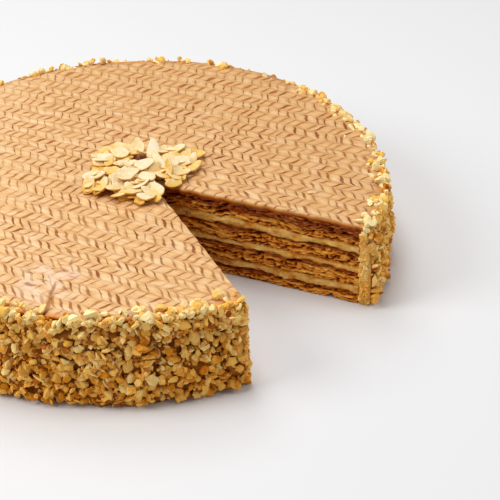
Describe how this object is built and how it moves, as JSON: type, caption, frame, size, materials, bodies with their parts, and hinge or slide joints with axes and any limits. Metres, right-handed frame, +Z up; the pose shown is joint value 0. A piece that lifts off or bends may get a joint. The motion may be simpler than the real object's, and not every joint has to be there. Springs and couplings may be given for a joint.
{
  "type": "mille-feuille",
  "caption": "Round mille-feuille cake with a slice cut out: puff pastry and cream layers under feathered icing, chopped nuts round the side and flaked almonds heaped in the middle.",
  "frame": {"origin": "centre of the round base, on the surface that the cake stands on", "axes": "+Z up through the layers; the pictured side faces -Y and the cut-out slice points to +X and -Y"},
  "size_m": [0.2813, 0.284, 0.0572],
  "materials": {
    "puff_pastry": "baked, flaky, matt",
    "cream": "soft, satin",
    "feathered_icing": "set fondant with feathered brown lines, satin",
    "chopped_nuts": "chopped, toasted, matt",
    "flaked_almonds": "thin flakes, matt"
  },
  "bodies": {
    "root": {"pastry_bottom": "puff_pastry", "pastry_lower": "puff_pastry", "pastry_upper": "puff_pastry", "pastry_top": "puff_pastry", "cream_lower": "cream", "cream_middle": "cream", "cream_upper": "cream", "icing": "feathered_icing", "nut_coat": "chopped_nuts", "almond_flakes": "flaked_almonds"}
  },
  "joints": []
}
